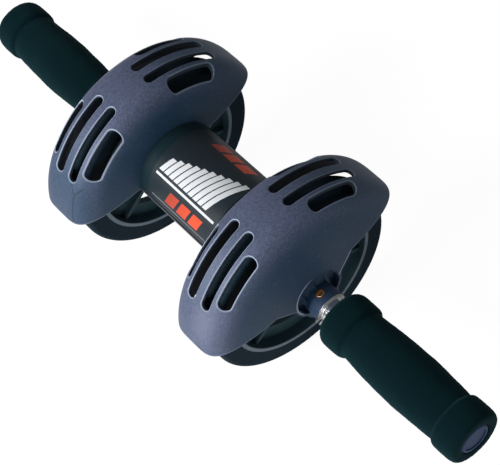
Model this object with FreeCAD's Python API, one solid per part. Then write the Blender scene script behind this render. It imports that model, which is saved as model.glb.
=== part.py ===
# Ab wheel roller: two covered wheels on one steel axle with a foam grip at each end.
# Millimetres, +X forward, +Y to the left along the axle, +Z up, origin on the floor under the axle's middle.
import FreeCAD, Part
import math
import os

os.makedirs("parts", exist_ok=True)

# Driving dimensions.
wheel_radius = 71.6
wheel_mid = 70.7
tyre_width = 19.6
axle_radius = 9.6
axle_wall = 1.6
grip_length = 122.8
grip_neck_foam = 7.9
grip_flange_rise = 2.6
grip_belly_rise = 2.25
cover_half_width = 29.8
cover_wall = 2.6
cover_rim_rise = 22.9
collar_wall = 2.0
bridge_radius = 30.3
bridge_wall = 2.6
bridge_rise = 20.0

# Clearances, set-offs and working allowances.
tread_gap = 9.0
slot_set_in = 1.4
collar_reach = 7.8
cup_gap = 5.9
bare_tube = 7.9
cap_lip = 1.4
slip_clearance = 0.05
running_clearance = 0.05
end_float = 0.4
joint_gap = 0.1
overrun = 2.0
match_tolerance = 0.02

# Pure numbers: powers, shares, counts and degrees.
cover_across_power = 4.4
cover_radial_power = 3.0
cover_width_shares = (0.0, 0.22, 0.42, 0.58, 0.71, 0.82, 0.9, 0.955, 0.985)
long_slot_angles = (9.5, 50.0)
short_slot_angles = (16.8, 44.6)
spoke_count = 6
grip_belly_place_shares = (0.152, 0.186, 0.244, 0.367, 0.533, 0.673, 0.775, 0.823, 0.867)
grip_belly_swell_shares = (0.0, 0.0, 0.27, 0.71, 1.0, 0.76, 0.38, 0.16, 0.1)

# Derived sizes of the wheel.
tyre_depth = wheel_radius * 0.2
tyre_seat = wheel_radius - tyre_depth
tyre_corner = tyre_width * 0.2
lip_proud = tyre_width * 0.04
lip_round = tyre_width * 0.03
rim_half = tyre_width / 2 + lip_proud
rim_bore = tyre_seat - tyre_depth * 0.23
rim_bite = rim_bore + tyre_depth * 0.1
hub_radius = axle_radius * 1.75
bush_radius = axle_radius * 1.27
bush_length = axle_radius * 1.3
bush_flange_radius = axle_radius * 1.55
bush_flange = axle_radius * 0.11
hub_bite = (bush_radius + hub_radius) / 2
web_half = tyre_width * 0.13
spoke_half = axle_radius * 0.55
spoke_rib_half = axle_radius * 0.16
spoke_rib_reach = tyre_width * 0.33
window_inner = hub_radius + axle_radius * 0.35
window_outer = rim_bore - axle_radius * 1.15

# Derived sizes of the cover.
cover_radius = wheel_radius + tread_gap + cover_wall
inner_flank = wheel_mid - cover_half_width
outer_flank = wheel_mid + cover_half_width
collar_radius = axle_radius + collar_wall
collar_end = outer_flank + collar_reach
cup_radius = collar_radius + cup_gap
cup_wall = cover_wall * 0.85
cup_rise = axle_radius * 1.3
cup_floor = outer_flank - axle_radius * 0.5
cup_back = cup_floor - cover_wall
lug_radius = cup_radius + cup_wall
lug_foot_radius = collar_radius + cup_wall
lug_spread = cover_half_width * 1.09
half_wall = cover_wall / 2
skin_foot = axle_radius / 2
inner_boss_end = inner_flank + cover_wall * 2.4
inner_boss_radius = axle_radius * 1.6
rib_thick = cover_wall * 0.8
rib_offset = axle_radius * 1.05
rib_reach = axle_radius * 0.23
rib_foot = collar_radius * 0.4
rib_top = cup_rise + cup_radius
slots_mid = wheel_mid - slot_set_in
slot_long_offset = cover_half_width * 0.225
slot_short_offset = cover_half_width * 0.59
slot_long_width = cover_half_width * 0.229
slot_short_width = cover_half_width * 0.26
slot_depth = cover_radius * 0.72
slot_lip = cover_wall * 0.3

# Derived sizes of the fastenings and the middle.
washer_thick = axle_radius * 0.14
washer_radius = axle_radius * 1.55
screw_radius = axle_radius * 0.19
screw_head_radius = axle_radius * 0.3
screw_head_height = axle_radius * 0.16
screw_slot_width = axle_radius * 0.07
screw_slot_depth = screw_head_height * 0.55
screw_head_edge = screw_head_height * 0.25
collar_screw_place = outer_flank + axle_radius * 0.09
collar_seat = math.sqrt(collar_radius ** 2 - screw_head_radius ** 2)
sleeve_radius = axle_radius * 1.25
bridge_middle = bridge_radius - bridge_wall / 2
label_half = inner_flank * 0.8
label_thick = bridge_wall * 0.12
label_edge_rise = bridge_radius * 0.16
lug_width = axle_radius * 0.95
lug_length = axle_radius * 1.2
lug_place = bridge_radius - bridge_wall - lug_width / 2
bridge_screw_radius = axle_radius * 0.14
bridge_screw_head_radius = axle_radius * 0.27
bridge_screw_head_height = axle_radius * 0.16
bridge_screw_seat = inner_flank + cover_wall * 1.1
bridge_screw_tip = inner_flank - lug_length * 0.7
bridge_screw_rise = cover_rim_rise + bridge_screw_head_radius * 1.4
lug_height = bridge_screw_rise - bridge_rise + bridge_screw_head_radius * 1.2
bead_reach = bridge_wall * 0.3
bead_height = bridge_wall * 1.2

# Derived sizes of the grip and its end.
grip_inner_end = collar_end + bare_tube
overall_half = grip_inner_end + grip_length
grip_neck_radius = axle_radius + grip_neck_foam
grip_flange_radius = grip_neck_radius + grip_flange_rise
inner_flange_end = grip_inner_end + grip_length * 0.167
outer_flange_start = overall_half - grip_length * 0.158
tip_round = grip_flange_rise * 1.2
heel_round = grip_flange_rise * 2.6
cap_radius = axle_radius + cap_lip
cap_set_back = axle_radius * 0.04
cap_edge = axle_radius * 0.08
cap_border = axle_radius * 0.24
cap_dish = axle_radius * 0.07
cap_disc = axle_radius * 0.6
cap_stem = axle_radius * 1.6
axle_half = overall_half - cap_set_back - cap_disc

V = FreeCAD.Vector
axle_middle = V(0, 0, wheel_radius)
along_axle = V(0, 1, 0)
forward = V(1, 0, 0)


def rod(radius, start, end, lift=0):
    """Round bar along the axle between two places on it."""
    return Part.makeCylinder(radius, end - start, V(0, start, wheel_radius + lift), along_axle)


def tube(outer, inner, start, end, lift=0):
    """Round tube along the axle."""
    return rod(outer, start, end, lift).cut(rod(inner, start - overrun, end + overrun, lift))


def box(x0, x1, y0, y1, z0, z1):
    """Plain block between two corners, heights counted from the axle."""
    return Part.makeBox(x1 - x0, y1 - y0, z1 - z0, V(x0, y0, wheel_radius + z0))


def flat(corners, x=0):
    """Flat face across the axle's line from corners given as place along the axle and height over it."""
    points = [V(x, place, wheel_radius + height) for place, height in corners]
    return Part.Face(Part.makePolygon(points + points[:1]))


def turned(wire):
    """Solid turned about the axle from a closed outline."""
    return Part.Face(wire).revolve(axle_middle, along_axle, 360)


def mirrored(shape):
    """The same piece on the right-hand side."""
    return shape.mirror(axle_middle, along_axle)


def round_edges(shape, radius, places):
    """Edges that run once round the axle at one radius and at any of the given places."""
    found = []
    for edge in shape.Edges:
        if isinstance(edge.Curve, Part.Circle) and abs(edge.Curve.Radius - radius) < match_tolerance:
            middle = edge.Curve.Center
            on_axle = abs(middle.x) < match_tolerance and abs(middle.z - wheel_radius) < match_tolerance
            if on_axle and any(abs(middle.y - place) < match_tolerance for place in places):
                found.append(edge)
    return found


def axle_tube():
    """Steel tube that runs the whole width."""
    return tube(axle_radius, axle_radius - axle_wall, -axle_half, axle_half)


def grip():
    """Foam sleeve with a flange at each end and a swell for the palm."""
    points = []
    for place, share in zip(grip_belly_place_shares, grip_belly_swell_shares):
        height = wheel_radius + grip_neck_radius + grip_belly_rise * share
        points.append(V(0, grip_inner_end + grip_length * place, height))
    skin = Part.BSplineCurve()
    skin.interpolate(points)
    first = V(0, points[0].y, wheel_radius)
    last = V(0, points[-1].y, wheel_radius)
    body = turned(Part.Wire([skin.toShape(), Part.makeLine(points[-1], last), Part.makeLine(last, first),
                             Part.makeLine(first, points[0])]))
    inner_flange = (grip_inner_end, heel_round, inner_flange_end, grip_flange_rise)
    outer_flange = (outer_flange_start, grip_flange_rise, overall_half, tip_round)
    for start, start_round, end, end_round in (inner_flange, outer_flange):
        flange = rod(grip_flange_radius, start, end)
        flange = flange.makeFillet(start_round, round_edges(flange, grip_flange_radius, [start]))
        flange = flange.makeFillet(end_round, round_edges(flange, grip_flange_radius, [end]))
        body = body.fuse(flange)
    bore = rod(axle_radius, grip_inner_end - overrun, axle_half)
    body = body.cut([bore, rod(cap_radius, axle_half, overall_half + overrun)])
    return body.removeSplitter()


def end_cap():
    """Plastic plug over the tube's end with a stem inside it and a shallow dished face."""
    face = overall_half - cap_set_back
    plug = rod(cap_radius, axle_half, face)
    plug = plug.makeChamfer(cap_edge, round_edges(plug, cap_radius, [face]))
    plug = plug.cut(rod(cap_radius - cap_border, face - cap_dish, face + overrun))
    return plug.fuse(rod(axle_radius - axle_wall, axle_half - cap_stem, axle_half)).removeSplitter()


def cover_body(inset):
    """Full turned body inside the cover's outline, set in from its surface."""
    half = cover_half_width - inset
    crown = cover_radius - inset
    outer = []
    for share in cover_width_shares:
        outer.append((half * share, crown * (1 - share ** cover_across_power) ** (1 / cover_radial_power)))
    outer.append((half, skin_foot))
    outline = [(-across, height) for across, height in reversed(outer[1:])] + outer
    points = [V(0, wheel_mid + across, wheel_radius + height) for across, height in outline]
    skin = Part.BSplineCurve()
    skin.interpolate(Points=points, InitialTangent=V(0, 0, 1), FinalTangent=V(0, 0, -1))
    first = V(0, points[0].y, wheel_radius)
    last = V(0, points[-1].y, wheel_radius)
    return turned(Part.Wire([skin.toShape(), Part.makeLine(points[-1], last), Part.makeLine(last, first),
                             Part.makeLine(first, points[0])]))


def cover_keep():
    """Space the cover keeps: all above the rim, and a rounded lug down round the cup and the axle."""
    near = inner_flank - overrun
    far = outer_flank + overrun
    reach = cover_radius + overrun
    above = box(-reach, reach, near, far, cover_rim_rise, reach)
    corners = [(lug_spread, cover_rim_rise), (lug_radius, cup_rise), (-lug_radius, cup_rise),
               (-lug_spread, cover_rim_rise)]
    points = [V(x, near, wheel_radius + z) for x, z in corners]
    taper = Part.Face(Part.makePolygon(points + points[:1])).extrude(along_axle * (far - near))
    lug = [taper, rod(lug_radius, near, far, cup_rise), rod(lug_foot_radius, near, far)]
    return above.fuse(lug).removeSplitter()


def slot(offset, width, angles):
    """Cutter for one slot that runs round the crown between two angles from the top, round at both ends."""
    top = cover_radius + overrun
    half_turn = math.degrees(width / 2 / cover_radius)
    first = angles[0] + half_turn
    last = angles[1] - half_turn
    near = slots_mid + offset - width / 2
    far = near + width
    face = flat([(near, slot_depth), (far, slot_depth), (far, top), (near, top)])
    face.rotate(axle_middle, along_axle, first)
    cutter = face.revolve(axle_middle, along_axle, last - first)
    for angle in (first, last):
        lean = V(math.sin(math.radians(angle)), 0, math.cos(math.radians(angle)))
        base = axle_middle + V(0, slots_mid + offset, 0) + lean * slot_depth
        cutter = cutter.fuse(Part.makeCylinder(width / 2, top - slot_depth, base, lean))
    return cutter.removeSplitter()


def slots():
    """All the cover's slots: two long and two short ones in front, and the same behind."""
    cutters = []
    for side in (1, -1):
        cutters.append(slot(side * slot_long_offset, slot_long_width, long_slot_angles))
        cutters.append(slot(side * slot_short_offset, slot_short_width, short_slot_angles))
    return cutters + [cutter.mirror(axle_middle, forward) for cutter in cutters]


def slot_edges(shell):
    """Edges where the slots break through the cover's outer surface."""
    found = []
    for edge in shell.Edges:
        first, last = edge.ParameterRange
        ends = [edge.valueAt(first + (last - first) * share) for share in (0.1, 0.5, 0.9)]
        on_skin = True
        for point in ends:
            across = abs(point.y - wheel_mid) / cover_half_width
            height = math.hypot(point.x, point.z - wheel_radius) / cover_radius
            value = across ** cover_across_power + height ** cover_radial_power
            over_rim = point.z - wheel_radius > cover_rim_rise + overrun
            on_skin = on_skin and over_rim and abs(value - 1) < match_tolerance
        if on_skin:
            found.append(edge)
    return found


def collar_ribs():
    """Three small webs that stay the collar against the cup, one behind the screw and one each side."""
    back = cup_floor - half_wall
    corners = [(back, rib_foot), (cup_floor + rib_reach, rib_foot), (back, rib_top)]
    middles = (-rib_offset, 0, rib_offset)
    return [flat(corners, x - rib_thick / 2).extrude(forward * rib_thick) for x in middles]


def cover():
    """Slotted shell over one wheel with the cup and collar that hold it on the axle."""
    outside = cover_body(0)
    plug = rod(lug_radius, cup_back, collar_end, cup_rise).common(outside)
    boss = rod(inner_boss_radius, inner_flank + half_wall, inner_boss_end)
    shell = outside.cut(cover_body(cover_wall)).fuse([plug, boss]).common(cover_keep())
    shell = shell.cut(slots()).removeSplitter()
    shell = shell.makeChamfer(slot_lip, slot_edges(shell))
    shell = shell.cut(rod(cup_radius, cup_floor, collar_end + overrun, cup_rise))
    shell = shell.fuse([rod(collar_radius, cup_floor - half_wall, collar_end)] + collar_ribs())
    shell = shell.cut([rod(axle_radius + slip_clearance, 0, collar_end + overrun)] + collar_screw_hole())
    return shell.cut(bridge_screw_holes()).removeSplitter()


def collar_screw_hole():
    """Hole through the collar's top, and the flat its screw's head sits on."""
    hole = Part.makeCylinder(screw_radius + slip_clearance, collar_radius + overrun,
                             V(0, collar_screw_place, wheel_radius))
    seat = Part.makeCylinder(screw_head_radius + joint_gap, screw_head_height + overrun,
                             V(0, collar_screw_place, wheel_radius + collar_seat))
    return [hole, seat]


def collar_screw():
    """Brass set screw through the collar's top down to the axle."""
    place = collar_screw_place
    seat = wheel_radius + collar_seat
    top = seat + screw_head_height
    head = Part.makeCylinder(screw_head_radius, screw_head_height, V(0, place, seat))
    rim = [edge for edge in head.Edges if abs(edge.BoundBox.ZMin - top) < match_tolerance]
    head = head.makeChamfer(screw_head_edge, rim)
    foot = V(0, place, wheel_radius + axle_radius)
    shank = Part.makeCylinder(screw_radius, collar_seat - axle_radius, foot)
    slot_foot = collar_seat + screw_head_height - screw_slot_depth
    bit = box(-screw_head_radius, screw_head_radius, place - screw_slot_width, place + screw_slot_width,
              slot_foot, slot_foot + screw_slot_depth + overrun)
    return head.fuse(shank).removeSplitter().cut(bit)


def bridge_screw_axes():
    """Feet of the two screw lines that hold the bridge to one cover."""
    height = wheel_radius + bridge_screw_rise
    return [V(side * lug_place, 0, height) for side in (1, -1)]


def bridge_screw_holes():
    """Through holes and head seats in the cover's inner flank."""
    holes = []
    for foot in bridge_screw_axes():
        seat = foot + along_axle * bridge_screw_seat
        end = bridge_screw_seat + overrun
        holes.append(Part.makeCylinder(bridge_screw_radius + slip_clearance, end, foot, along_axle))
        holes.append(Part.makeCylinder(bridge_screw_head_radius + joint_gap, cover_wall, seat, along_axle))
    return holes


def bridge_screw(side):
    """Screw from inside the cover into the bridge, in front or behind."""
    foot = bridge_screw_axes()[0 if side == "front" else 1]
    seat = foot + along_axle * bridge_screw_seat
    tip = foot + along_axle * bridge_screw_tip
    head = Part.makeCylinder(bridge_screw_head_radius, bridge_screw_head_height, seat, along_axle)
    shank = Part.makeCylinder(bridge_screw_radius, bridge_screw_seat - bridge_screw_tip, tip, along_axle)
    return head.fuse(shank).removeSplitter()


def bridge():
    """Half-round housing between the covers, with a bead along each lower edge and a lug at each corner."""
    reach = inner_flank + cover_wall
    outer = bridge_radius + bead_reach
    above = box(-outer, outer, -reach, reach, bridge_rise, bridge_rise + outer)
    shell = tube(bridge_radius, bridge_radius - bridge_wall, -reach, reach, bridge_rise).common(above)
    edge = box(-outer, outer, -reach, reach, bridge_rise, bridge_rise + bead_height)
    bead = tube(outer, bridge_radius - bridge_wall, -reach, reach, bridge_rise).common(edge)
    shell = shell.fuse(bead)
    inside = rod(bridge_middle, -reach, reach, bridge_rise)
    for foot in bridge_screw_axes():
        block = box(foot.x - lug_width / 2, foot.x + lug_width / 2, inner_flank - lug_length, reach,
                    bridge_rise, bridge_rise + lug_height).common(inside)
        hole = Part.makeCylinder(bridge_screw_radius + slip_clearance, reach + overrun, foot, along_axle)
        shell = shell.fuse([block, mirrored(block)])
        shell = shell.cut([hole, mirrored(hole)])
    fitted = cover_body(-joint_gap)
    return shell.cut([fitted, mirrored(fitted)]).removeSplitter()


def label():
    """Thin printed wrap over the bridge."""
    skin = tube(bridge_radius + label_thick, bridge_radius, -label_half, label_half, bridge_rise)
    outer = bridge_radius + overrun
    start = bridge_rise + label_edge_rise
    return skin.common(box(-outer, outer, -label_half, label_half, start, start + outer))


def sleeve():
    """Spacer tube round the axle between the two covers."""
    return tube(sleeve_radius, axle_radius + slip_clearance, -inner_flank, inner_flank)


def washer_inner():
    """Thrust washer against the cover's inner boss."""
    return tube(washer_radius, axle_radius + slip_clearance, inner_boss_end, inner_boss_end + washer_thick)


def washer_outer():
    """Thrust washer against the back of the cover's cup."""
    return tube(washer_radius, axle_radius + slip_clearance, cup_back - washer_thick, cup_back)


def hub_ends():
    """Places along the axle where the wheel's hub starts and ends."""
    allowance = washer_thick + end_float + bush_flange
    return inner_boss_end + allowance, cup_back - allowance


def wheel():
    """Moulded wheel: hub, ribbed spokes with open windows, and a rim with a raised lip each side."""
    start, end = hub_ends()
    web = rod(rim_bite, wheel_mid - web_half, wheel_mid + web_half)
    windows = tube(window_outer, window_inner, wheel_mid - spoke_rib_reach, wheel_mid + spoke_rib_reach)
    ribs = []
    for index in range(spoke_count):
        angle = 360 / spoke_count * index
        spoke = box(-spoke_half, spoke_half, wheel_mid - rim_half, wheel_mid + rim_half, 0, rim_bore)
        rib = box(-spoke_rib_half, spoke_rib_half, wheel_mid - spoke_rib_reach, wheel_mid + spoke_rib_reach,
                  hub_bite, rim_bite)
        spoke.rotate(axle_middle, along_axle, angle)
        rib.rotate(axle_middle, along_axle, angle)
        windows = windows.cut(spoke)
        ribs.append(rib)
    band = tube(tyre_seat, rim_bore, wheel_mid - rim_half, wheel_mid + rim_half)
    lips = [wheel_mid - rim_half, wheel_mid + rim_half]
    band = band.makeFillet(lip_round, round_edges(band, tyre_seat, lips) + round_edges(band, rim_bore, lips))
    body = web.cut(windows).fuse([band, rod(hub_radius, start, end)] + ribs)
    return body.cut(rod(bush_radius, start - overrun, end + overrun)).removeSplitter()


def tyre():
    """Rubber ring with rounded shoulders."""
    sides = [wheel_mid - tyre_width / 2, wheel_mid + tyre_width / 2]
    ring = tube(wheel_radius, tyre_seat, sides[0], sides[1])
    return ring.makeFillet(tyre_corner, round_edges(ring, wheel_radius, sides))


def bush_inner():
    """Flanged plain bearing in the hub's inner end."""
    start = hub_ends()[0]
    flange = rod(bush_flange_radius, start - bush_flange, start)
    body = rod(bush_radius, start, start + bush_length).fuse(flange)
    return body.cut(rod(axle_radius + running_clearance, 0, collar_end)).removeSplitter()


def bush_outer():
    """Flanged plain bearing in the hub's outer end."""
    end = hub_ends()[1]
    flange = rod(bush_flange_radius, end, end + bush_flange)
    body = rod(bush_radius, end - bush_length, end).fuse(flange)
    return body.cut(rod(axle_radius + running_clearance, 0, collar_end)).removeSplitter()


def save(name, shape):
    """Write one piece to its own file."""
    shape.exportStep("parts/" + name + ".step")


for piece in (axle_tube, bridge, label, sleeve):
    save(piece.__name__, piece())

for piece in (grip, end_cap, cover, collar_screw, washer_inner, washer_outer, wheel, tyre, bush_inner,
              bush_outer):
    left = piece()
    save(piece.__name__ + "_left", left)
    save(piece.__name__ + "_right", mirrored(left))

for place in ("front", "rear"):
    left = bridge_screw(place)
    save("bridge_screw_" + place + "_left", left)
    save("bridge_screw_" + place + "_right", mirrored(left))
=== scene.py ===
# Ab wheel roller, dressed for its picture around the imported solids, in metres.
import math

import bpy
from mathutils import Matrix, Vector


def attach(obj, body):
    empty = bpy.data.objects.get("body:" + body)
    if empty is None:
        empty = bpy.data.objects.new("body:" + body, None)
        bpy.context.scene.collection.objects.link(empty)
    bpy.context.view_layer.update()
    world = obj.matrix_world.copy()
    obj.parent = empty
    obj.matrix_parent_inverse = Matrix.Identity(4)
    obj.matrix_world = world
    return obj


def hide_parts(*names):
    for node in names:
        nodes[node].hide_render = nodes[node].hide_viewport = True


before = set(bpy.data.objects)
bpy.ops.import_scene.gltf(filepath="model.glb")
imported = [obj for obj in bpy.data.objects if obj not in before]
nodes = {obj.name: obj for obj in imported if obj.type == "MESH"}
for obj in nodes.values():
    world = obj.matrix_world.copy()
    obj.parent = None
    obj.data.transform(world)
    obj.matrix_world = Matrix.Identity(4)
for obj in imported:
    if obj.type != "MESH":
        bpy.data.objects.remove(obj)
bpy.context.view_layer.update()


# Axle tube: a drawn steel tube, polished and chrome plated, that runs the whole width.
# Only a short stretch shows at each side, between the cover's collar and the grip.
class Value:
    """What a shader socket gives. Sums and products of values add Math nodes to the same material."""

    def __init__(self, socket):
        self.socket = socket

    def node(self, kind, sockets, output=0, stops=(), **settings):
        """Adds a node: its settings first, then a number, colour or link for each named socket."""
        made = self.socket.id_data.nodes.new("ShaderNode" + kind)
        for name, setting in settings.items():
            setattr(made, name, setting)
        for index, (place, colour) in enumerate(stops):
            ramp = made.color_ramp.elements
            stop = ramp[index] if index < len(ramp) else ramp.new(place)
            stop.position = place
            stop.color = (*colour, 1)
        for key, value in sockets.items():
            if isinstance(value, Value):
                made.id_data.links.new(value.socket, made.inputs[key])
            else:
                made.inputs[key].default_value = value
        return Value(made.outputs[output])

    def math(self, operation, *others):
        return self.node("Math", dict(enumerate((self, *others))), operation=operation)

    def __add__(self, other):
        return self.math("ADD", other)

    def __sub__(self, other):
        return self.math("SUBTRACT", other)

    def __rsub__(self, other):
        return (self - other) * -1

    def __mul__(self, other):
        return self.math("MULTIPLY", other)

    def __truediv__(self, other):
        return self.math("DIVIDE", other)

    def __abs__(self):
        return self.math("ABSOLUTE")

    __radd__ = __add__
    __rmul__ = __mul__

    def fade(self, start, end):
        """0 before start and 1 after end, with an even slope eased at both ends; start may be the larger."""
        return self.node("MapRange", {0: self, 1: start, 2: end}, interpolation_type="SMOOTHSTEP")

    def noise(self, scale, detail=2.0, rough=0.5, warp=0.0):
        """Cloudy pattern from 0 to 1 over a place."""
        sockets = {"Vector": self, "Scale": scale, "Detail": detail, "Roughness": rough, "Distortion": warp}
        return self.node("TexNoise", sockets)

    def stretched(self, x, y, z):
        """The same place with its axes pulled by these factors."""
        return self.node("Mapping", {"Vector": self, "Scale": (x, y, z)})

    def mix(self, low, high):
        """Colour that goes from low to high as this value goes from 0 to 1."""
        colours = [(*c, 1) if isinstance(c, tuple) else c for c in (low, high)]
        return self.node("Mix", {0: self, 6: colours[0], 7: colours[1]}, output=2, data_type="RGBA")

    def bump(self, strength, depth):
        """Normal of a surface raised by this value."""
        return self.node("Bump", {"Height": self, "Strength": strength, "Distance": depth})

    def line(self, middle, half):
        """1 on a line where this value meets the middle, and 0 away from it."""
        return 1 - abs(self - middle).fade(half * 0.5, half)

    def spot(self, middle, half):
        """1 where this value meets the middle, easing to 0 at half away from it."""
        return 1 - abs(self - middle).fade(0, half)


def start_finish(name, **constants):
    """A new material: gives it, its shader node and the place on the piece as a value."""
    material = bpy.data.materials.new(name)
    material.use_nodes = True
    shader = material.node_tree.nodes["Principled BSDF"]
    for socket, number in constants.items():
        shader.inputs[socket.replace("_", " ")].default_value = number
    coordinates = material.node_tree.nodes.new("ShaderNodeTexCoord")
    return material, shader, Value(coordinates.outputs["Object"])


def feed(shader, **values):
    """Links values to the shader's sockets."""
    for socket, value in values.items():
        shader.id_data.links.new(value.socket, shader.inputs[socket.replace("_", " ")])


def dress(material, *names):
    """Puts a finish on CAD nodes."""
    for name in names:
        nodes[name].material_slots[0].material = material


chrome, shader, place = start_finish("chrome", Metallic=1.0)
smudge = place.noise(60, 3)
hairlines = place.stretched(1, 40, 1).noise(90, 2)
feed(shader, Base_Color=smudge.mix((0.84, 0.87, 0.90), (0.95, 0.96, 0.97)),
     Roughness=0.08 + smudge * 0.08 + hairlines * 0.08, Normal=hairlines.bump(0.2, 0.0003))
dress(chrome, "axle_tube")


# Spacer sleeve: a plain extruded plastic tube round the axle that keeps the two covers apart.
# It is hidden under the bridge and shows only from below.
sleeve_black, shader, place = start_finish("sleeve_plastic", Specular_IOR_Level=0.3)
streaks = place.stretched(6, 0.3, 6).noise(160, 3)
feed(shader, Base_Color=streaks.mix((0.006, 0.008, 0.010), (0.016, 0.019, 0.023)),
     Roughness=0.42 + streaks * 0.2, Normal=streaks.bump(0.15, 0.0003))
dress(sleeve_black, "sleeve")


# Thrust washers and bridge screws: zinc-plated steel, stamped and turned.
# The washers float between hub and cover, and the screws go from inside the covers into the bridge.
def both(name):
    """A piece's nodes on the left and on the right."""
    return name + "_left", name + "_right"


zinc, shader, place = start_finish("zinc_steel", Metallic=1.0)
bloom = place.noise(220, 4, 0.6)
feed(shader, Base_Color=bloom.mix((0.42, 0.43, 0.45), (0.62, 0.62, 0.60)),
     Roughness=0.25 + bloom * 0.25, Normal=place.noise(1800, 2).bump(0.08, 0.0002))
for name in ("washer_inner", "washer_outer", "bridge_screw_front", "bridge_screw_rear"):
    dress(zinc, *both(name))


# Bushes: flanged plain bearings turned from natural nylon and pressed into each end of the hub.
# Turning leaves fine rings round the axle on their flanges.
mm = 0.001
axle_height = 71.6 * mm


def axes(place):
    """A place's three coordinates in millimetres, the last counted from the axle."""
    x, y, z = (place.node("SeparateXYZ", {0: place}, output=index) / mm for index in range(3))
    return x, y, z - axle_height / mm


nylon, shader, place = start_finish("natural_nylon", Specular_IOR_Level=0.4)
x, y, z = axes(place)
radius = (x * x + z * z).math("SQRT")
rings = (radius * 9).math("SINE") * 0.5 + 0.5
cloud = place.noise(120, 3)
feed(shader, Base_Color=cloud.mix((0.48, 0.46, 0.40), (0.62, 0.60, 0.54)), Roughness=0.4 + cloud * 0.15,
     Normal=rings.bump(0.12, 0.0002))
dress(nylon, *both("bush_inner"), *both("bush_outer"))


# Wheels: black moulded plastic with ribbed spokes, open windows and a raised lip on each side of the rim.
# The lip is painted a little paler as a highlight along its edge, and is smoother than the rest.
wheel_black, shader, place = start_finish("wheel_plastic", Specular_IOR_Level=0.15)
x, y, z = axes(place)
radius = (x * x + z * z).math("SQRT")
wheel_mid, lip_side, lip_radius = 70.7, 9.6, 55.6
beside = abs(abs(y) - wheel_mid).fade(lip_side - 0.5, lip_side + 0.3)
# Painted highlight: a paler band on the lip at each side of the rim.
painted_highlight = beside * radius.line(lip_radius, 1.7)
mottle = place.noise(90, 4, 0.6)
grain = place.noise(1500, 2)
dark = mottle.mix((0.018, 0.046, 0.060), (0.031, 0.064, 0.082))
feed(shader, Base_Color=(painted_highlight * (0.6 + mottle * 0.4)).mix(dark, (0.17, 0.21, 0.26)),
     Roughness=0.5 + mottle * 0.12 - painted_highlight * 0.14, Normal=grain.bump(0.12, 0.0003))
dress(wheel_black, *both("wheel"))


# Tyres: solid rubber rings pressed over the rims, with a matt bloom and fine mould rings on the sides.
# A parting line from the mould runs round the middle of the tread.
rubber, shader, place = start_finish("tyre_rubber", Specular_IOR_Level=0.12)
x, y, z = axes(place)
radius = (x * x + z * z).math("SQRT")
rings = (radius * 5.2).math("SINE") * 0.5 + 0.5
parting = abs(y).line(wheel_mid, 0.45)
dust = place.noise(260, 5, 0.65)
fine = place.noise(2200, 2)
height = rings * 0.35 + fine * 0.4 + parting * 0.8
feed(shader, Base_Color=dust.fade(0.35, 0.85).mix((0.005, 0.016, 0.026), (0.011, 0.026, 0.040)),
     Roughness=0.66 + dust * 0.2, Normal=height.bump(0.2, 0.0003))
dress(rubber, *both("tyre"))


# Covers: one-piece mouldings in slate-blue plastic with a satin grain, held on the axle by their collars.
# The slots' chamfered lips and the lower edges carry painted highlights, strongest in front, and the right
# cover's nose a painted highlight.
# The flanks, the rear and the noses carry painted shade, the inside and the slots a darker painted shade,
# and the left one has a weld line before its front slots.
slots_mid, slot_radius = 69.3, 83.2
long_slot = (6.7, 6.82, 9.5, 50.0)
short_slot = (17.58, 7.75, 16.8, 44.6)
cup_rise, cup_radius = 12.48, 17.5
rim_rise, lug_spread, lug_radius = 22.9, 32.5, 19.71
crown_foot, cup_floor, collar_start, inside_end = 30.0, 98.0, 100.3, 95.0


def slot_distance(angle, radius, across, offset, width, first, last):
    """Millimetres from a round-ended slot's edge, over the crown."""
    half_turn = width / 2 / slot_radius
    first = math.radians(first) + half_turn
    last = math.radians(last) - half_turn
    along = (abs(angle - (first + last) / 2) - (last - first) / 2).math("MAXIMUM", 0) * radius
    side = across - offset
    return (along * along + side * side).math("SQRT") - width / 2


half_width, crown, across_power, crown_power = 28.5, 81.9, 4.4, 3.0
weld_start, weld_middle, weld_spread = math.radians(56), -12.0, 50.0
cool_shine = (0.76, 0.88, 1.0, 1.0)
slate, shader, place = start_finish("slate_plastic", Specular_IOR_Level=0.42, Specular_Tint=cool_shine,
                                    Sheen_Weight=0.06, Sheen_Tint=(0.9, 0.76, 1.0, 1.0))
x, y, z = axes(place)
radius = (x * x + z * z).math("SQRT")
angle = abs(x).math("ARCTAN2", z)
from_mid = abs(y) - slots_mid
across = abs(from_mid)
edge = slot_distance(angle, radius, across, *long_slot)
edge = edge.math("MINIMUM", slot_distance(angle, radius, across, *short_slot))
front = x.fade(10, -10)
over_crown = z.fade(crown_foot, crown_foot + 4)
# Painted highlights: paler lines along the slots' lips, the pocket's lip and the lower edges, stronger in
# front.
slot_highlight = edge.line(0.35, 0.6) * over_crown * (0.3 + front * 0.7)
outside = abs(y).fade(cup_floor - 0.5, cup_floor + 0.5)
collar = abs(y).fade(collar_start, collar_start + 0.3)
from_cup = (x * x + (z - cup_rise) * (z - cup_rise)).math("SQRT")
cup_highlight = from_cup.line(cup_radius + 0.4, 0.8) * outside * z.fade(2, 6) * x.fade(2, -8)
rim_highlight = z.line(rim_rise + 0.2, 0.9) * abs(x).fade(lug_spread - 0.6, lug_spread) * 0.25
slope_x, slope_z = rim_rise - cup_rise, lug_spread - lug_radius
from_slope = ((abs(x) - lug_radius) * slope_x - (z - cup_rise) * slope_z) / math.hypot(slope_x, slope_z)
slope_highlight = from_slope.line(-0.2, 0.9) * z.fade(rim_rise + 0.5, rim_rise) * z.fade(cup_rise - 4, cup_rise)
slope_highlight = slope_highlight * (1 - front * 0.75)
edge_highlight = slot_highlight.math("MAXIMUM", cup_highlight).math("MAXIMUM", rim_highlight).math("MAXIMUM", slope_highlight)
mottle = place.noise(34, 4, 0.55)
grain = place.noise(640, 4, 0.75)
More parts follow.
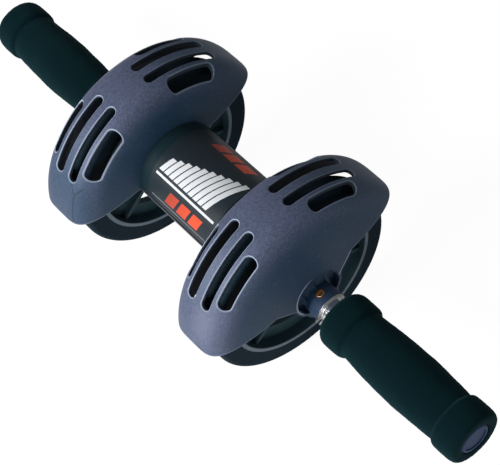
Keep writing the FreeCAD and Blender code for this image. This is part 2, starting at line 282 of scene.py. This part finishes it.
scuffs = place.stretched(3, 14, 3).noise(70, 4, 0.7).fade(0.58, 0.8)
flank = (abs(abs(y) - wheel_mid) / half_width).math("POWER", across_power)
depth = flank + (radius / crown).math("POWER", crown_power)
# Painted shade inside the cover and down the slot walls, darker than the rest.
slot_wall = depth.fade(1.04, 1.02) * edge.fade(0.5, 0.2) * over_crown
inside = (depth.fade(1.0, 0.98) * abs(y).fade(inside_end, inside_end - 1)).math("MAXIMUM", slot_wall)
edge_highlight = edge_highlight * (1 - inside)
arms = (weld_start - angle).math("MAXIMUM", 0) * weld_spread
weld = (abs(from_mid - weld_middle) - arms).line(0, 0.9) * front * y.fade(0, 1)
weld = weld * angle.fade(weld_start - 0.11, weld_start - 0.08)
cloud = mottle * 0.35 + grain.fade(0.32, 0.68) * 0.65
# Painted shade: a darker teal on the flanks, the rear and the noses, the left one's most, and a paler lit
# tone elsewhere.
lit_tone = cloud.mix((0.031, 0.043, 0.080), (0.095, 0.112, 0.188))
painted_shade = flank.fade(0.08, 0.7).math("MAXIMUM", x.fade(5, 60) * 0.95)
painted_shade = painted_shade.math("MAXIMUM", x.fade(-35, -70) * (0.2 + y.fade(0, 1) * 0.55))
tone = painted_shade.mix(lit_tone, cloud.mix((0.004, 0.022, 0.049), (0.013, 0.045, 0.090)))
tone = collar.mix(tone, cloud.mix((0.014, 0.036, 0.084), (0.025, 0.051, 0.112)))
# Painted highlight on the right cover's nose, joined with random pale scuffs.
painted_highlight = angle.spot(1.0, 0.34) * from_mid.spot(10, 18) * front * y.fade(0, -1)
tone = (scuffs * 0.3).math("MAXIMUM", painted_highlight * (0.25 + grain * 0.4)).mix(tone, (0.16, 0.165, 0.24))
# Painted shade inside and in the slots, over the weld line's darker mark.
tone = (inside * 0.85).mix((weld * 0.85).mix(tone, (0.012, 0.022, 0.034)), (0.006, 0.013, 0.018))
# The painted edge highlights are mixed in last, over the rest.
feed(shader, Base_Color=(edge_highlight * (0.6 + grain * 0.4)).mix(tone, (0.34, 0.40, 0.52)),
     Roughness=0.42 + mottle * 0.1 + grain * 0.08 - edge_highlight * 0.08 + inside * 0.3,
     Normal=(grain - weld * 1.5).bump(0.3, 0.0003))
dress(slate, *both("cover"))


# Collar screws: brass set screws with a driver slot, through the collar's top down to the axle.
# They clamp the whole cover in place.
brass, shader, place = start_finish("brass", Metallic=1.0)
tarnish = place.noise(420, 4, 0.65)
feed(shader, Base_Color=tarnish.mix((0.80, 0.50, 0.20), (0.40, 0.14, 0.05)), Roughness=0.2 + tarnish * 0.3,
     Normal=place.noise(2600, 2).bump(0.1, 0.0002))
dress(brass, *both("collar_screw"))


# Retaining rings: flat spring-steel rings snapped round the tube against each collar's end.
# Each is open at one place, with an ear at each side of the gap for the pliers, and is zinc plated.
ring_place, ring_thick, ring_ease = 108.36 * mm, 0.8 * mm, 0.12 * mm
ring_inner, ring_outer, ear_outer = 9.66 * mm, 11.2 * mm, 13.2 * mm
gap_middle, gap_half, ear_span = math.radians(192), math.radians(9), math.radians(15)


def only(piece):
    """Selects one object and nothing else."""
    bpy.ops.object.select_all(action="DESELECT")
    piece.select_set(True)
    bpy.context.view_layer.objects.active = piece


def apply_all(piece):
    """Applies a piece's modifiers in their order."""
    only(piece)
    for modifier in list(piece.modifiers):
        bpy.ops.object.modifier_apply(modifier=modifier.name)


def settle(piece):
    """Puts a piece's place, turn and scale into its mesh."""
    only(piece)
    bpy.ops.object.transform_apply(location=True, rotation=True, scale=True)


def axle_circle(radius, place, facets):
    """A new circle of edges round the axle, left in edit mode with all of it selected."""
    bpy.ops.object.select_all(action="DESELECT")
    bpy.ops.mesh.primitive_circle_add(vertices=facets, radius=radius, rotation=(math.pi / 2, 0, 0),
                                      location=(0, place, axle_height))
    piece = bpy.context.object
    settle(piece)
    bpy.ops.object.mode_set(mode="EDIT")
    bpy.ops.mesh.select_mode(type="EDGE")
    bpy.ops.mesh.select_all(action="SELECT")
    return piece


def widen(ratio, place):
    """Scales what is selected about the axle."""
    bpy.ops.transform.resize(value=(ratio, 1, ratio), center_override=(0, place, axle_height))


def pick(piece, items, wanted):
    """Selects the edges or faces of a mesh whose middle is wanted, and goes back to edit mode."""
    bpy.ops.mesh.select_all(action="DESELECT")
    bpy.ops.object.mode_set(mode="OBJECT")
    points = piece.data.vertices
    for item in getattr(piece.data, items):
        middle = sum((points[i].co for i in item.vertices), Vector()) / len(item.vertices)
        item.select = wanted(math.hypot(middle.x, middle.z - axle_height), from_gap(middle))
    bpy.ops.object.mode_set(mode="EDIT")


def from_gap(point):
    """Angle round the axle from the ring's gap."""
    turn = math.atan2(point.z - axle_height, point.x) - gap_middle
    return abs((turn + math.pi) % (2 * math.pi) - math.pi)


for side, sign in (("left", 1), ("right", -1)):
    place = sign * ring_place
    ring = axle_circle(ring_inner, place, 120)
    ring.name = "retaining_ring_" + side
    bpy.ops.mesh.extrude_edges_move()
    widen(ring_outer / ring_inner, place)
    bpy.ops.mesh.select_mode(type="FACE")
    pick(ring, "polygons", lambda radius, turn: turn < gap_half)
    bpy.ops.mesh.delete(type="FACE")
    bpy.ops.mesh.select_mode(type="EDGE")
    pick(ring, "edges", lambda radius, turn: radius > ring_outer * 0.99 and turn < gap_half + ear_span)
    bpy.ops.mesh.extrude_edges_move()
    widen(ear_outer / ring_outer, place)
    bpy.ops.mesh.select_mode(type="FACE")
    bpy.ops.mesh.select_all(action="SELECT")
    bpy.ops.mesh.extrude_region_move(TRANSFORM_OT_translate={"value": (0, sign * ring_thick, 0)})
    bpy.ops.mesh.select_all(action="SELECT")
    bpy.ops.mesh.normals_make_consistent(inside=False)
    bpy.ops.object.mode_set(mode="OBJECT")
    eased = ring.modifiers.new("eased", "BEVEL")
    eased.width = ring_ease
    eased.segments = 2
    apply_all(ring)
    ring.data.materials.append(zinc)
    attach(ring, "frame")


# Bridge: a half-round black moulding screwed between the two covers.
# The bead along each lower edge is a paler grey.
bridge_black, shader, place = start_finish("bridge_plastic", Specular_IOR_Level=0.1)
x, y, z = axes(place)
bridge_rise, bead_height = 20.0, 3.1
pale_bead = 1 - (z - bridge_rise).fade(bead_height - 0.6, bead_height + 0.4)
mottle = place.noise(80, 4, 0.6)
grain = place.noise(1900, 3, 0.6)
dark = mottle.mix((0.004, 0.014, 0.019), (0.008, 0.022, 0.029))
feed(shader, Base_Color=(pale_bead * (0.5 + mottle * 0.5)).mix(dark, (0.085, 0.085, 0.098)),
     Roughness=0.38 + mottle * 0.14, Normal=grain.bump(0.12, 0.0003))
dress(bridge_black, "bridge")


# Label: printed film wrapped over the bridge, a rising row of white bars on black between red blocks.
# The ink is slightly raised and the film has a soft gloss.
film_radius = 30.45
ink_edge = 0.16


def inked(along, around, mid_along, mid_around, half_along, half_around, slant=0.0):
    """1 inside a slanted block of print, with a clean edge."""
    lean = along - mid_along - (around - mid_around) * slant
    outside = (abs(lean) - half_along).math("MAXIMUM", abs(around - mid_around) - half_around)
    return outside.fade(ink_edge / 2, -ink_edge / 2)


film, shader, place = start_finish("printed_film", Specular_IOR_Level=0.2, Coat_Roughness=0.22)
x, y, z = axes(place)
around = x.math("ARCTAN2", z - bridge_rise) * film_radius
along = y * -1
bar_slant, bar_foot, bar_pitch, bar_half, first_bar = 0.38, -17.0, 5.3, 2.0, -24.5
shortest_half, half_step = 5.6, 1.08
base_gap, base_half_length, base_half = 3.0, 29.5, 0.9
white = inked(along, around, 0, bar_foot - base_gap, base_half_length, base_half)
for index in range(10):
    half = shortest_half + index * half_step
    bar = inked(along, around, first_bar + bar_pitch * index, bar_foot + half, bar_half, half, bar_slant)
    white = white.math("MAXIMUM", bar)
block_half, wide_block_half, block_half_around = 4.6, 5.4, 5.0
rear_row, front_row = 25.5, -30.0
red = inked(along, around, 14.0, rear_row, wide_block_half, block_half_around, bar_slant)
for mid, row in ((1.5, rear_row), (-10.0, rear_row), (-9.0, front_row), (3.0, front_row), (15.0, front_row)):
    red = red.math("MAXIMUM", inked(along, around, mid, row, block_half, block_half_around, bar_slant))
rule_place, rule_half, rule_half_length = 37.5, 0.3, 29.0
rules = inked(abs(around), y, rule_place, 0, rule_half, rule_half_length)
scuff = place.noise(140, 5, 0.65)
ground = scuff.mix((0.005, 0.011, 0.016), (0.010, 0.019, 0.027))
ground = (rules * 0.8).mix(ground, (0.30, 0.30, 0.32))
warm = along.fade(-18, 18).mix((0.32, 0.036, 0.018), (0.60, 0.064, 0.020))
ink = red.mix(ground, warm)
ink = (white * (0.94 + scuff * 0.06)).mix(ink, (0.60, 0.62, 0.64))
printed = white.math("MAXIMUM", red)
feed(shader, Base_Color=ink, Roughness=0.4 + scuff * 0.14, Coat_Weight=0.15 - scuff * 0.06,
     Normal=(printed * 0.6 + place.noise(900, 2) * 0.25).bump(0.1, 0.0002))
dress(film, "label")


# Grips: closed-cell black foam sleeves pushed on to the tube, a flange at each end and a swell for the palm.
# The skin is soft and slightly lumpy, with open pores.
grip_outline = ((116.2, 13.6), (116.3, 15.0), (116.9, 16.7), (118.1, 18.4), (119.9, 19.5), (122.3, 20.05),
                (127.3, 20.15), (133.2, 20.1), (135.2, 19.8), (136.3, 19.0), (136.8, 18.0), (137.4, 17.5),
                (139.0, 17.4), (146.0, 18.1), (153.0, 18.7), (161.0, 19.1), (170.5, 19.55), (181.5, 19.75),
                (190.2, 19.6), (198.6, 19.2), (205.2, 18.7), (211.3, 18.35), (216.2, 17.95), (218.4, 17.75),
                (219.2, 18.2), (219.6, 19.0), (220.6, 19.75), (222.4, 20.1), (228.2, 20.15), (233.6, 20.1),
                (236.2, 19.75), (238.0, 18.9), (238.9, 17.4), (239.0, 15.2), (238.8, 12.2), (238.2, 11.25),
                (236.5, 11.06), (233.6, 11.06), (232.9, 10.9), (232.7, 9.8), (232.0, 9.66), (180.0, 9.66),
                (130.0, 9.66), (118.1, 9.66), (116.7, 9.8), (116.3, 11.0))


def sweep_ring(outline, facets):
    """A ring extruded round a closed outline of places along the axle and radii, in millimetres."""
    piece = axle_circle(outline[0][1] * mm, outline[0][0] * mm, facets)
    for (place, radius), (next_place, next_radius) in zip(outline, outline[1:]):
        bpy.ops.mesh.extrude_edges_move(TRANSFORM_OT_translate={"value": (0, (next_place - place) * mm, 0)})
        widen(next_radius / radius, next_place * mm)
    bpy.ops.mesh.select_all(action="DESELECT")
    bpy.ops.mesh.select_non_manifold(extend=False)
    bpy.ops.mesh.bridge_edge_loops()
    bpy.ops.mesh.select_all(action="SELECT")
    bpy.ops.mesh.normals_make_consistent(inside=False)
    bpy.ops.object.mode_set(mode="OBJECT")
    return piece


skin_radius = 14 * mm
lumps, cells_swell = ("lumps", 16 * mm, 0.7 * mm), ("cells", 1.6 * mm, 0.3 * mm)
foam, shader, place = start_finish("black_foam", Specular_IOR_Level=0.03, Sheen_Weight=0.05,
                                   Sheen_Tint=(0.4, 0.9, 1.0, 1.0), Diffuse_Roughness=1.0)
cells = place.node("TexVoronoi", {"Vector": place, "Scale": 900.0})
pores = place.noise(2600, 3, 0.65)
wear = place.noise(55, 4, 0.6)
feed(shader, Base_Color=(wear * 0.6 + pores * 0.4).mix((0.0009, 0.0098, 0.0128), (0.0025, 0.0148, 0.0190)),
     Roughness=0.86 + pores * 0.12, Normal=(cells * 0.6 + pores * 0.5).bump(0.35, 0.0004))

for side, sign in (("left", 1), ("right", -1)):
    grip = sweep_ring(grip_outline, 72)
    grip.name = "foam_grip_" + side
    if sign < 0:
        grip.scale.y = -1
        settle(grip)
        bpy.ops.object.mode_set(mode="EDIT")
        bpy.ops.mesh.select_all(action="SELECT")
        bpy.ops.mesh.normals_make_consistent(inside=False)
        bpy.ops.object.mode_set(mode="OBJECT")
    skin = grip.vertex_groups.new(name="skin")
    outer = [v.index for v in grip.data.vertices if math.hypot(v.co.x, v.co.z - axle_height) > skin_radius]
    skin.add(outer, 1.0, "REPLACE")
    smooth = grip.modifiers.new("smooth", "SUBSURF")
    smooth.levels = smooth.render_levels = 2
    for name, size, depth in (lumps, cells_swell):
        pattern = bpy.data.textures.new(name + "_" + side, "CLOUDS")
        pattern.noise_scale = size
        pattern.noise_depth = 2
        swell = grip.modifiers.new(name, "DISPLACE")
        swell.texture = pattern
        swell.texture_coords = "LOCAL"
        swell.strength = depth
        swell.mid_level = 0.5
        swell.vertex_group = "skin"
    apply_all(grip)
    bpy.ops.object.shade_smooth()
    grip.data.materials.append(foam)
    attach(grip, "frame")
    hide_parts("grip_" + side)


# End plugs: moulded caps in the tube's ends, the same slate-blue plastic as the covers, with a dished face.
# The face carries a fine grain and a few light scratches from standing on end.
plug_blue, shader, place = start_finish("plug_plastic", Specular_IOR_Level=0.15)
mottle = place.noise(300, 4, 0.6)
scratches = place.stretched(1, 1, 9).noise(420, 3, 0.7).fade(0.6, 0.75)
tone = mottle.mix((0.006, 0.023, 0.072), (0.027, 0.056, 0.136))
feed(shader, Base_Color=(scratches * 0.35).mix(tone, (0.20, 0.22, 0.30)), Roughness=0.42 + mottle * 0.14,
     Normal=place.noise(1900, 3).bump(0.14, 0.0003))
dress(plug_blue, *both("end_cap"))


# Stage: a plain pale floor under the wheels, a large soft light in front and above, and a weak fill.
# The floor shows white to the camera and keeps the roller's shadow.
bpy.ops.object.select_all(action="DESELECT")
bpy.ops.mesh.primitive_plane_add(size=12)
floor = bpy.context.object
floor.name = "floor"
paper, shader, place = start_finish("pale_floor", Roughness=0.9, Specular_IOR_Level=0.0)
speckle = place.noise(8, 2)
feed(shader, Base_Color=speckle.mix((0.62, 0.62, 0.62), (0.66, 0.66, 0.66)))
seen = place.node("LightPath", {})
glow = place.node("Emission", {"Color": (1, 1, 1, 1), "Strength": 1.1})
shade = place.node("MixShader", {0: seen * 0.86, 1: Value(shader.outputs[0]), 2: glow})
paper.node_tree.links.new(shade.socket, paper.node_tree.nodes["Material Output"].inputs["Surface"])
floor.data.materials.append(paper)

world = bpy.data.worlds.new("studio")
bpy.context.scene.world = world
world.use_nodes = True
sky = world.node_tree.nodes["Background"]
seen = Value(world.node_tree.nodes.new("ShaderNodeLightPath").outputs["Is Camera Ray"])
sky.inputs["Color"].default_value = (1, 1, 1, 1)
ambient = 0.32
world.node_tree.links.new((seen * (1 - ambient) + ambient).socket, sky.inputs["Strength"])


def soft_box(name, place, target, size, power):
    """A square soft light at a place, facing a target."""
    lamp = bpy.data.lights.new(name, "AREA")
    lamp.size = size
    lamp.energy = power
    holder = bpy.data.objects.new(name, lamp)
    bpy.context.scene.collection.objects.link(holder)
    holder.location = place
    holder.rotation_euler = (Vector(target) - Vector(place)).to_track_quat("-Z", "Y").to_euler()


middle = (0, 0, 0.08)
soft_box("key", (-1.2, 0.2, 0.95), middle, 0.8, 30)
soft_box("fill", (-0.95, -0.95, 0.45), middle, 0.4, 4)


# Camera at the photograph's own viewing angle, solved from the outlines of the wheels and grips.
# It is turned about its line of sight as the photograph is.
focal_length, film_width = 120.84, 36.0
camera_place = (-0.1659, -0.5799, 1.0208)
lens = bpy.data.cameras.new("camera")
lens.sensor_width = film_width
lens.lens = focal_length
lens.clip_start = 0.05
camera = bpy.data.objects.new("camera", lens)
bpy.context.scene.collection.objects.link(camera)
right = Vector((0.7268, -0.6413, -0.2460))
up = Vector((0.6703, 0.5840, 0.4579))
back = right.cross(up).normalized()
turn = Matrix((right, up, back)).transposed().to_4x4()
camera.matrix_world = Matrix.Translation(camera_place) @ turn
bpy.context.scene.camera = camera
bpy.context.scene.view_settings.view_transform = "Standard"
